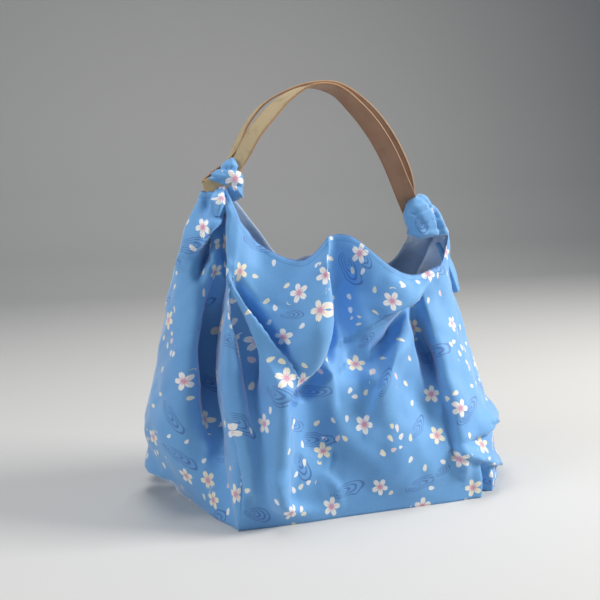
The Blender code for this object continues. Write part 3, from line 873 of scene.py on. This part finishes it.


# listed motifs are x, z on the front, or an offset on a knot; the rest are scattered with a
# seed and lie apart from all before them; sizes are drawn between two ends
blossoms = {
    "size": (10.81, 12.19), "apart": 62.0, "seed": 3,
    "front": (
        (-176, 343), (-149, 325), (-164, 290), (-137, 293), (-47, 289), (-75, 267), (-57, 251),
        (-218, 235), (-96, 220), (-207, 169), (-98, 177), (-78, 168), (4, 172), (-123, 125),
        (98, 128), (125, 116), (0, 107), (95, 82), (159, 63), (119, 53), (14, 34), (-184, 48),
        (-206, 45), (-180, 23), (138, 14), (-241, 90), (-156, 118),
    ),
    "knot": (("left cap", 5, -2), ("left tail", 0, 22)),
}
# x, z, half length, half height, turn in degrees; the ends are those of the scattered ones
swirls = {
    "ends": ((20.0, 8.0, -34.3775), (34.0, 11.0, 34.3775)), "apart": 70.0, "seed": 5,
    "front": (
        (-84, 243, 16, 6, 0), (8, 286, 26, 13, -55), (22, 300, 20, 9, -50), (45, 231, 18, 7, -5),
        (-150, 212, 15, 8, -60), (17, 203, 16, 6, 30), (-109, 157, 22, 12, -30),
        (-57, 151, 27, 8, -5), (26, 158, 20, 7, 50), (-86, 118, 22, 9, -25), (-60, 92, 32, 10, -5),
        (-82, 70, 22, 12, -60), (-26, 33, 29, 10, 12), (156, 190, 18, 9, 60), (145, 110, 34, 9, 22),
        (68, 97, 22, 8, 30), (72, 33, 32, 9, 10), (-222, 122, 28, 10, -42), (-214, 74, 32, 10, -25),
        (-174, 150, 18, 8, -50), (98, 42, 14, 6, 10),
    ),
    "knot": (("right", -12, -9, 13, 8, -45), ("right", 14, 8, 8, 6, 30)),
}
# x, z, radius of the places thick with petals
showers = {
    "radius": (12.0, 18.0), "apart": 120.0, "seed": 7,
    "front": (
        (25, 161, 15), (32, 93, 17), (146, 178, 17), (-148, 240, 15), (7, 224, 15), (-81, 55, 16),
        (-243, 78, 13), (-87, 28, 14), (-171, 111, 12), (-96, 190, 10),
    ),
    "knot": (),
}
# darts thrown, how far a motif's own coordinates reach in half sizes, and the strip left between two
printing = {"darts": 5000, "reach": 1.35, "strip": 5.0}


def scatter(motif, flat, knotRow):
    # each listed x, z goes to the nearest wall point that faces the front; then seeded darts on
    # the wall, each kept when clear of all before it
    rng = np.random.default_rng(motif["seed"])
    pool = flat.reshape(-1, 2)
    shown = (outward(wall)[..., 1] < -0.1) & (shownColumns > 0.9)
    kept = []
    for x, z, *_ in motif["front"]:
        miss = np.hypot(wall[..., 0] - x, wall[..., 2] - z) + np.where(shown, 0.0, 1e3)
        kept.append(pool[miss.argmin()])
    kept = np.array(kept + [(row[1], row[2] + knotRow[row[0]]) for row in motif["knot"]])
    for dart in rng.permutation(len(pool))[: printing["darts"]]:
        if np.sqrt(((kept - pool[dart]) ** 2).sum(axis=1)).min() > motif["apart"]:
            kept = np.concatenate([kept, pool[dart][None]])
    return kept, rng.uniform(0, 1, (len(kept), 4))


def localTo(centres, turns, halfLong, halfWide, pool):
    # offset from the nearest centre, turned back and divided by the half sizes; then 1 up to the
    # reach, and 0 past that or in the strip halfway between two centres
    nearest = np.zeros(len(pool), int)
    best = second = np.full(len(pool), 1e9)
    for k, centre in enumerate(centres):
        off = np.hypot(pool[:, 0] - centre[0], pool[:, 1] - centre[1])
        nearest = np.where(off < best, k, nearest)
        second = np.minimum(second, np.maximum(off, best))
        best = np.minimum(off, best)
    gone, turn = pool - centres[nearest], turns[nearest]
    x = (gone[:, 0] * np.cos(turn) + gone[:, 1] * np.sin(turn)) / halfLong[nearest]
    y = (gone[:, 1] * np.cos(turn) - gone[:, 0] * np.sin(turn)) / halfWide[nearest]
    near = (np.hypot(x, y) < printing["reach"]) & (second - best > printing["strip"])
    return np.stack([x, y, near.astype(float)], axis=1), nearest


def printFields(flat, pool, knotRow):
    # blossoms and water loops as local coordinates; showers as the most e^-(distance / radius)^2
    spots, chance = scatter(blossoms, flat, knotRow)
    size = between(blossoms["size"], chance[:, 0])
    bloom, which = localTo(spots, chance[:, 1] * 2 * np.pi, size, size, pool)
    tone = chance[which, 2]
    spots, chance = scatter(swirls, flat, knotRow)
    given = [row[2:] for row in swirls["front"]] + [row[3:] for row in swirls["knot"]]
    drawn = between(np.array(swirls["ends"]), chance[len(given) :, :3])
    long, wide, turns = np.concatenate([given, drawn]).T
    swirl, _ = localTo(spots, np.radians(turns), long, wide, pool)
    spots, chance = scatter(showers, flat, knotRow)
    radii = np.array([row[2] for row in showers["front"]])
    radii = np.concatenate([radii, between(showers["radius"], chance[len(radii) :, 0])])
    thick = np.zeros(len(pool))
    for spot, radius in zip(spots, radii):
        thick = np.maximum(thick, np.exp(-(((pool - spot) / radius) ** 2).sum(axis=1)))
    print("blossoms", len(size), "swirls", len(long), "showers", len(radii))
    return {"bloom": bloom, "bloomTone": tone, "swirl": swirl, "thick": thick}


def makeCloth():
    # wall rows over base rings that shrink to the base's middle point, then the lumps and leaves
    rows, columns = wall.shape[:2]
    foot = wall[0]
    centre = foot.mean(axis=0)
    shares = np.arange(1, bag["baseRings"] + 1) / (bag["baseRings"] + 1)
    rings = centre + (foot - centre) * shares[:, None, None]
    points = np.concatenate([centre[None], rings.reshape(-1, 3), wall.reshape(-1, 3)])
    spare = len(points) - rows * columns
    faces = fanFaces(columns).tolist()
    faces += (gridFaces(bag["baseRings"] + rows - 1, columns) + 1).tolist()
    lumps = {name: knotLump(name) for name in knots}
    lumps.update({name + " tail": tailLeaf(name) for name in tails})
    first, pace = laying["knots"]
    knotRow = {name: first + pace * k for k, name in enumerate(lumps)}
    for lump, corners, _ in lumps.values():
        for part in corners:
            faces += (part + len(points)).tolist()
        points = np.concatenate([points, lump])
    hem = np.ones(len(points))
    hem[spare : spare + rows * columns] = fromHem(wall).ravel() * mm
    flat = np.concatenate(
        [points[:spare, :2] + (0.0, laying["base"]), flatPlace.reshape(-1, 2)]
        + [lumps[name][2] + (0.0, knotRow[name]) for name in lumps]
    )
    fields = {"flat": np.pad(flat * mm, ((0, 0), (0, 1))), "hem": hem}
    fields.update(printFields(flatPlace, flat, knotRow))
    cloth = meshPiece("wrap", points, faces, fields, [cottonFace, cottonBack])
    thickness = cloth.modifiers.new("thickness", "SOLIDIFY")
    thickness.thickness = bag["thick"] * mm
    thickness.offset = -1.0
    thickness.material_offset = 1
    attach(cloth, "root")
    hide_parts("cloth")
    return cloth


cloth = makeCloth()
print("cloth made", len(cloth.data.polygons))


# x, y, z, wideX, wideY, wideZ along the loop: out over the front, home over the back
strapPath = {
    "left loop": (-167, -9, 386, -0.3, 0, 0.95),
    "in the left knot": (-149, -9, 396, -0.7, 0.45, 0.45),
    "front left foot": (-126, -5, 421, -0.54, 0.82, 0.2),
    "front left": (-108, -14, 452, -0.48, 0.82, 0.32),
    "front shoulder": (-90, -14, 473, -0.4, 0.82, 0.4),
    "front rise": (-68, -13, 493, -0.2, 0.93, 0.31),
    "front top": (-37, -12, 507, 0, 1, 0),
    "front crown": (-10, -12, 504, -0.03, 0.95, -0.31),
    "front fall": (20, -12, 481, -0.37, 0.83, -0.42),
    "front right": (42, -12, 456, -0.56, 0.72, -0.42),
    "front right low": (60, -13, 427, -0.67, 0.64, -0.38),
    "front right foot": (78, -9, 392, -0.7, 0.62, -0.35),
    "in the right knot": (96, -2, 358, -0.95, 0.2, -0.25),
    "right loop": (105, 1, 341, -1, 0, -0.1),
    "out of the right": (108, 14, 364, -0.55, -0.8, 0),
    "back right low": (99, 14, 398, 0.05, -0.99, 0.08),
    "back right": (82, 14, 436, 0.12, -0.98, 0.1),
    "back fall": (61, 14, 468, 0.06, -0.99, 0.1),
    "back shoulder": (36, 14, 493, 0, -1, 0.1),
    "back crown": (0, 14, 512, 0, -0.98, 0.15),
    "back top": (-32, 14, 513, 0, -1, 0),
    "back rise": (-64, 14, 503, 0, -1, 0),
    "back left": (-92, 14, 487, 0.02, -1, 0),
    "back left low": (-111, 14, 465, 0.05, -1, 0),
    "back left foot": (-130, 14, 430, 0.1, -1, 0.05),
    "out of the left": (-150, 14, 404, -0.3, -0.8, 0.5),
}
strapSizes = {"wide": 24.0, "thick": 2.6, "round": 0.55, "steps": 360}
strapAcross = np.array([-1, -0.93, -0.6, 0, 0.6, 0.93, 1])  # shares of the flat half width


def makeStrap():
    # a closed band: section points at middle + wide * a + face * b, the corners rounded off
    rows = np.array(list(strapPath.values()), float)
    places = loopLengths(rows[:, :3])
    count = strapSizes["steps"]
    at = np.arange(count) / count * places[-1]
    path = closedHermite(places, rows, at)
    middle, wide = path[:, :3], path[:, 3:]
    way = unit(np.roll(middle, -1, axis=0) - np.roll(middle, 1, axis=0))
    wide = unit(wide - way * (wide * way).sum(axis=1, keepdims=True))
    face = np.cross(way, wide)
    halfWide, halfThick, corner = strapSizes["wide"] / 2, strapSizes["thick"] / 2, strapSizes["round"]
    across = strapAcross * (halfWide - corner)
    rim = np.array([halfThick - corner, corner - halfThick])
    a = np.concatenate([across, [halfWide, halfWide], across[::-1], [-halfWide, -halfWide]])
    b = np.concatenate([0 * across + halfThick, rim, 0 * across - halfThick, rim[::-1]])
    points = middle[:, None] + wide[:, None] * a[:, None] + face[:, None] * b[:, None]
    size = len(a)
    fields = {
        "along": np.stack([np.repeat(at, size), np.tile(a, count), np.tile(b, count)], axis=1) * mm,
        "across": np.tile(a / halfWide, count),
        "side": np.tile((b > 0).astype(float), count),
    }
    faces = (gridFaces(count, size) % (count * size)).tolist()
    strap = meshPiece("strap_band", points.reshape(-1, 3), faces, fields, [strapFinish])
    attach(strap, "root")
    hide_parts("strap")
    return strap


strap = makeStrap()
print("strap made", len(strap.data.polygons))


# metres; the floor's line from front to back, and the room's light
stage = {
    "y": (-3.0, 2.0, 2.6, 3.0, 3.2, 3.3), "z": (0.0, 0.0, 0.1, 0.4, 0.9, 4.0), "x": (-6.0, 6.0),
    "floor": {"Base Color": (0.62, 0.61, 0.59, 1.0), "Roughness": 0.9}, "aim": (0.0, 0.0, 0.22),
    "sky": ((0.72, 0.85, 1.0, 1.0), 0.16),
}
# x, y, z, long, wide, watts, red, green, blue
lights = {
    "window": (1.85, -0.62, 1.35, 0.7, 0.8, 56.0, 1.0, 0.98, 0.95),
    "fill": (-1.9, -0.4, 1.15, 0.8, 0.8, 15.0, 0.95, 0.97, 1.0),
    "top": (-0.1, 0.1, 2.2, 1.0, 0.9, 21.0, 1.0, 1.0, 1.0),
}


def makeStage():
    # a pale floor that curves up far behind the bag
    z, x = np.meshgrid(stage["z"], stage["x"], indexing="ij")
    y = np.broadcast_to(np.array(stage["y"])[:, None], z.shape)
    points = np.stack([x, y, z], axis=-1).reshape(-1, 3) / mm
    plain, tree = newFinish("floor")
    setShader(tree, stage["floor"])
    faces = gridFaces(len(stage["y"]) - 1, len(stage["x"]), False).tolist()
    floor = meshPiece("floor", points, faces, {}, [plain])
    return floor


def makeLight(name):
    # an area light turned to the bag's middle
    data = bpy.data.lights.new(name, "AREA")
    data.shape = "RECTANGLE"
    data.size, data.size_y, data.energy = lights[name][3:6]
    data.color = lights[name][6:]
    light = bpy.data.objects.new(name, data)
    light.location = lights[name][:3]
    aim = Vector(stage["aim"]) - light.location
    light.rotation_euler = aim.to_track_quat("-Z", "Y").to_euler()
    bpy.context.scene.collection.objects.link(light)


floor = makeStage()
for name in lights:
    makeLight(name)
world = bpy.data.worlds.new("room light")
world.use_nodes = True
for socket, value in zip(world.node_tree.nodes["Background"].inputs, stage["sky"]):
    socket.default_value = value
bpy.context.scene.world = world
bpy.context.scene.view_settings.view_transform = "Standard"
print("stage and lights made")
